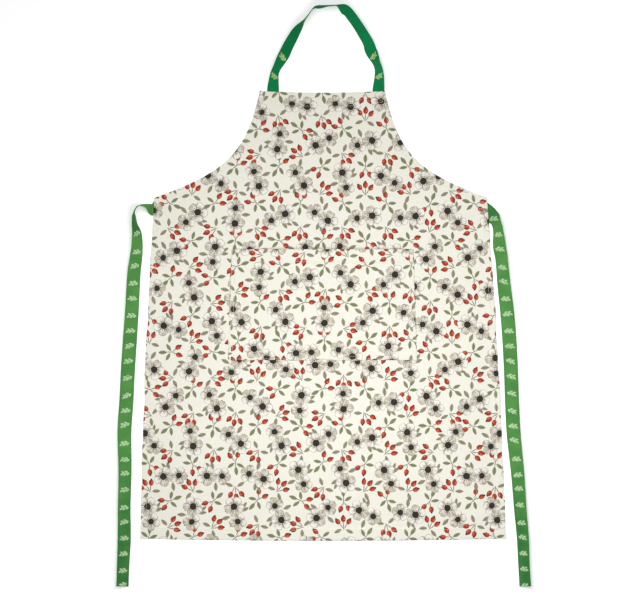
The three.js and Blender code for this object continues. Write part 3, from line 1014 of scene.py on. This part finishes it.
def make_material(name, values):
    """A new material with these values on its shader's sockets, and the shader."""
    material = bpy.data.materials.new(name)
    material.use_nodes = True
    shader = material.node_tree.nodes["Principled BSDF"]
    for socket, value in values.items():
        shader.inputs[socket].default_value = value
    return material, shader


def cloth_material(name, finish):
    """A matt cloth material, its shader and the flat cloth's coordinates in millimetres."""
    material, shader = make_material(name, {
        "Roughness": finish.roughness,
        "Sheen Weight": finish.sheen,
        "Specular IOR Level": CLOTH_SPECULAR,
    })
    place = material.node_tree.nodes.new("ShaderNodeUVMap")
    place.uv_map = "cloth"
    parts = wired_node("ShaderNodeSeparateXYZ", {0: Field(place.outputs[0])}).outputs
    return material, shader, Field(parts[0]) * (1.0 / MM), Field(parts[1]) * (1.0 / MM)


def dress(shader, finish, tint, height):
    """Gives a shader its colour and the bump of its surface."""
    inputs = {"Height": height, "Distance": finish.relief * MM, "Strength": finish.bump}
    bump = wired_node("ShaderNodeBump", inputs)
    links = shader.id_data.links
    links.new(tint.socket, shader.inputs["Base Color"])
    links.new(bump.outputs[0], shader.inputs["Normal"])


def cotton(name, wrong_side):
    """Printed cotton with uneven threads. Its wrong side shows the print faintly."""
    material, shader, x, y = cloth_material(name, COTTON_FINISH)
    slub = (cloud(x, y * SLUB_STRETCH, SLUB_LENGTH) + cloud(x * SLUB_STRETCH, y, SLUB_LENGTH)) * 0.5
    tint = scattered_print(over(GROUND, GROUND_DEEP, ramp(slub, *SLUB_TINT)), x, y)
    if wrong_side:
        tint = over(tint, WRONG_SIDE, WRONG_SIDE_FADE)
    dress(shader, COTTON_FINISH, tint, weave(x, y, THREAD_PITCH) + slub * SLUB_RELIEF)
    return material


# Tapes: green cotton with pale sprigs that lie across it

NECK_GREEN = colour(13, 131, 76)
NECK_GREEN_DEEP = colour(8, 112, 62)
NECK_MARK = colour(188, 214, 140)
TIE_GREEN = colour(88, 148, 74)
TIE_GREEN_DEEP = colour(51, 117, 57)
TIE_MARK = colour(192, 220, 175)
SPRIG_ON_TAPE = [
    Leaf(0, 0, 0, 20, 1.8), Leaf(-5.8, 2.4, 28, 8.5, 3.9), Leaf(0.9, 2.7, 26, 9, 4.1),
    Leaf(7.2, 1.9, 14, 8, 3.6), Leaf(-2.9, -2.5, -27, 8.5, 3.9), Leaf(4, -2.5, -25, 8.5, 3.9),
]
SPRIG_SLANT = 0.22
SPRIG_SWAY = 0.5
SPRIG_SHIFT = 6.0
SPRIG_STRENGTH = 0.85
SPRIG_FADE = 1.0
SPRIG_CELL_HEIGHT = 40.0
WEAR_PITCH = 4.0
WEAR_RANGE = (0.9, 0.45)
WASH_PITCH = 30.0
WASH_RANGE = (0.25, 0.75)
WASH_SHARE = 0.4
# How strongly the painted shade at a tape's root darkens its green
ROOT_PAINTED_SHADE_SHARE = 0.7
DEEP_REACH = 0.4
DEEP_SHARE = 0.75


def sprigs_on(base, along, across, pitch, paint):
    """Sprigs across a tape, one every pitch, each a little slanted and shifted by a chance of its own."""
    cell = cells(along, across, pitch, SPRIG_CELL_HEIGHT, (0.5, 0.5))
    sway = (cell.chance[0] - 0.5) * SPRIG_SWAY + SPRIG_SLANT
    px, py = turned(cell.y, cell.x + (cell.chance[1] - 0.5) * SPRIG_SHIFT, sway)
    for leaf in SPRIG_ON_TAPE:
        base = leaf_on(base, px, py, leaf, paint, paint)
    return base


def green_tape(name, strap, length):
    """Green tape of this length in millimetres, deeper in colour near one place along it, with painted shade
    at its root.
    """
    material, shader, along, across = cloth_material(name, TAPE_FINISH)
    wash = ramp(cloud(along, across, WASH_PITCH), *WASH_RANGE) * WASH_SHARE
    wash = wash + ramp(abs(along - strap.deepest * length), DEEP_REACH * length, 0.0) * DEEP_SHARE
    shade, sprigs = strap.root_shade, strap.sprigs
    # Painted shade near the root: darker green where the twisted tape would lie in shade
    root = ramp(abs(along - shade.middle), shade.reach, shade.whole) * ROOT_PAINTED_SHADE_SHARE
    base = over(strap.paint, strap.deep, wash + root)
    from_seam = along if strap.free_end else calc("MINIMUM", along, length - along)
    begun = ramp(from_seam, sprigs.begin - SPRIG_FADE, sprigs.begin)
    marked = begun * ramp(from_seam, sprigs.end + SPRIG_FADE, sprigs.end)
    worn = ramp(cloud(along, across, WEAR_PITCH), *WEAR_RANGE) * SPRIG_STRENGTH
    tint = sprigs_on(base, from_seam - sprigs.first, across, sprigs.pitch, sprigs.paint)
    tint = over(base, tint, marked * worn)
    dress(shader, TAPE_FINISH, tint, weave(along, across, THREAD_PITCH))
    return material


CREAM = colour(238, 233, 216)
CREAM_DEEP = colour(222, 215, 194)
TWIST_PITCH = 0.5
TINT_PITCH = 4.0
TINT_RANGE = (0.3, 0.7)


def thread(name, paint, deep):
    """Twisted sewing thread: fine slanted ridges and a slight change of colour from stitch to stitch."""
    material, shader, x, y = cloth_material(name, THREAD_FINISH)
    tint = over(paint, deep, ramp(cloud(x, y, TINT_PITCH), *TINT_RANGE))
    dress(shader, THREAD_FINISH, tint, calc("SINE", (x + y) * (2.0 * math.pi / TWIST_PITCH)))
    return material


# Pieces

cotton_face = cotton("printed_cotton_face", wrong_side=False)
cotton_back = cotton("printed_cotton_back", wrong_side=True)
cream_thread = thread("cream_thread", CREAM, CREAM_DEEP)

panel = make_panel([cotton_face, cotton_back])
pocket = make_pocket([cotton_face, cotton_back])
panel_stitching = make_stitches("panel_stitching", panel_rows(), cream_thread)
pocket_stitching = make_stitches("pocket_stitching", pocket_rows(), cream_thread)

FLOOR = "floor"


def flat_area():
    """The panel's area in square metres, from its outline."""
    upward = [panel_edges[name].line for name in ("hem", "right_side", "right_armhole")]
    back = [panel_edges[name].line[::-1] for name in ("bib", "left_armhole", "left_side")]
    x, y = np.concatenate(upward + back).T
    return abs(np.sum(x * np.roll(y, -1) - np.roll(x, -1) * y)) / 2 * MM * MM


def declare(piece, stitching, node, flat, area=None):
    """Puts a cloth piece and its stitches on the root body and hides the part of the model that they stand
    for. Its flat size and area are not used.
    """
    for part in (piece, stitching):
        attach(part, "root")
    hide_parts(node)


declare(panel, panel_stitching, "apron_panel",
        ((HEM.right - HEM.left) * MM, (BIB.y - HEM.y + HEM_SAG) * MM), flat_area())
declare(pocket, pocket_stitching, "pocket",
        (POCKET_WIDTH * MM, POCKET_HEIGHT * MM))

# Straps. A root has painted shade round a middle place, wholly near it and fading out at a reach from it.
# Sprigs lie a pitch apart, and they begin and end at distances from the seam
Shade = namedtuple("Shade", "middle whole reach")
Sprigs = namedtuple("Sprigs", "paint first pitch begin end")
Strap = namedtuple("Strap", "node slot route width free_end paint deep deepest root_shade sprigs")
STRAPS = [
    Strap("neck_strap", "neck_tape", NECK_ROUTE, NECK_WIDTH, False, NECK_GREEN, NECK_GREEN_DEEP, 0.36,
          Shade(0.0, 0.0, 1.0), Sprigs(NECK_MARK, 52.0, 42.0, 30.0, 115.0)),
    Strap("tie_left", "tie_tape", LEFT_TIE_ROUTE, TIE_WIDTH, True, TIE_GREEN, TIE_GREEN_DEEP, 1.0,
          Shade(85.0, 14.0, 38.0), Sprigs(TIE_MARK, 22.0, 31.0, 100.0, 1000.0)),
    Strap("tie_right", "tie_tape", RIGHT_TIE_ROUTE, TIE_WIDTH, True, TIE_GREEN, TIE_GREEN_DEEP, 1.0,
          Shade(0.0, 34.0, 62.0), Sprigs(TIE_MARK, 15.0, 31.0, 30.0, 1000.0)),
]
for strap in STRAPS:
    ribbon = lay_tape(strap.route, strap.width)
    green = green_tape(strap.node + "_cotton", strap, ribbon.run[-1])
    tape = make_tape(strap.node + "_tape", ribbon, strap.width, green, strap.free_end)
    sewing = thread(strap.node + "_thread", strap.paint, strap.deep)
    rows = tape_rows(ribbon, strap.width, strap.free_end)
    stitching = make_stitches(strap.node + "_stitching", rows, sewing)
    declare(tape, stitching, strap.node, (strap.width * MM, ribbon.run[-1] * MM))


# Floor, light and camera, in metres

FLOOR_SIZE = 40.0
FLOOR_DROP = 0.0003
FLOOR_TONE = (0.98, 0.98, 0.98, 1.0)
FLOOR_GLOW = 0.27
FLOOR_ROUGHNESS = 0.95
FLOOR_SPECULAR = 0.1
PHOTO_WIDTH = 1.2009
PHOTO_MIDDLE = (-0.02425, -0.2018)
CAMERA_HEIGHT = 10.0
CAMERA_CLIP = 100.0
SENSOR_WIDTH = 36.0
SUN_FROM = (-0.12, 0.3, 0.95)
SUN_STRENGTH = 1.36
SUN_SPREAD = 45.0
LAMP_PLACE = (0.06, -0.33, 0.8)
LAMP_SIZE = 0.6
LAMP_POWER = 4.65
DOWN = (0.0, 0.0, -1.0)
SKY_TONE = (1.0, 1.0, 1.0, 1.0)
SKY_STRENGTH = 0.2


def make_floor():
    mesh = bpy.data.meshes.new(FLOOR)
    half = FLOOR_SIZE / 2
    corners = [(x * half, y * half, -FLOOR_DROP) for x, y in SQUARE]
    mesh.from_pydata(corners, [], [(0, 1, 2, 3)])
    material, _ = make_material("pale_floor", {
        "Base Color": FLOOR_TONE,
        "Emission Color": FLOOR_TONE,
        "Emission Strength": FLOOR_GLOW,
        "Roughness": FLOOR_ROUGHNESS,
        "Specular IOR Level": FLOOR_SPECULAR,
    })
    mesh.materials.append(material)
    add_object(FLOOR, mesh)


def add_light(name, kind, place, towards):
    light = bpy.data.lights.new(name, kind)
    holder = add_object(name, light)
    holder.location = place
    holder.rotation_euler = Vector(towards).to_track_quat("-Z", "Y").to_euler()
    return light


def make_light():
    sun = add_light("soft_sun", "SUN", SUN_FROM, -Vector(SUN_FROM))
    sun.energy = SUN_STRENGTH
    sun.angle = math.radians(SUN_SPREAD)
    lamp = add_light("top_lamp", "AREA", LAMP_PLACE, DOWN)
    lamp.size = LAMP_SIZE
    lamp.energy = LAMP_POWER
    world = bpy.data.worlds.new("soft_sky")
    world.use_nodes = True
    sky = world.node_tree.nodes["Background"]
    sky.inputs["Color"].default_value = SKY_TONE
    sky.inputs["Strength"].default_value = SKY_STRENGTH
    bpy.context.scene.world = world


def make_camera():
    lens = bpy.data.cameras.new("camera")
    lens.sensor_width = SENSOR_WIDTH
    lens.lens = SENSOR_WIDTH * CAMERA_HEIGHT / PHOTO_WIDTH
    lens.clip_end = CAMERA_CLIP
    camera = add_object("camera", lens)
    camera.location = (*PHOTO_MIDDLE, CAMERA_HEIGHT)
    bpy.context.scene.camera = camera


make_floor()
make_light()
make_camera()
bpy.context.scene.view_settings.view_transform = "Standard"

bpy.context.view_layer.update()
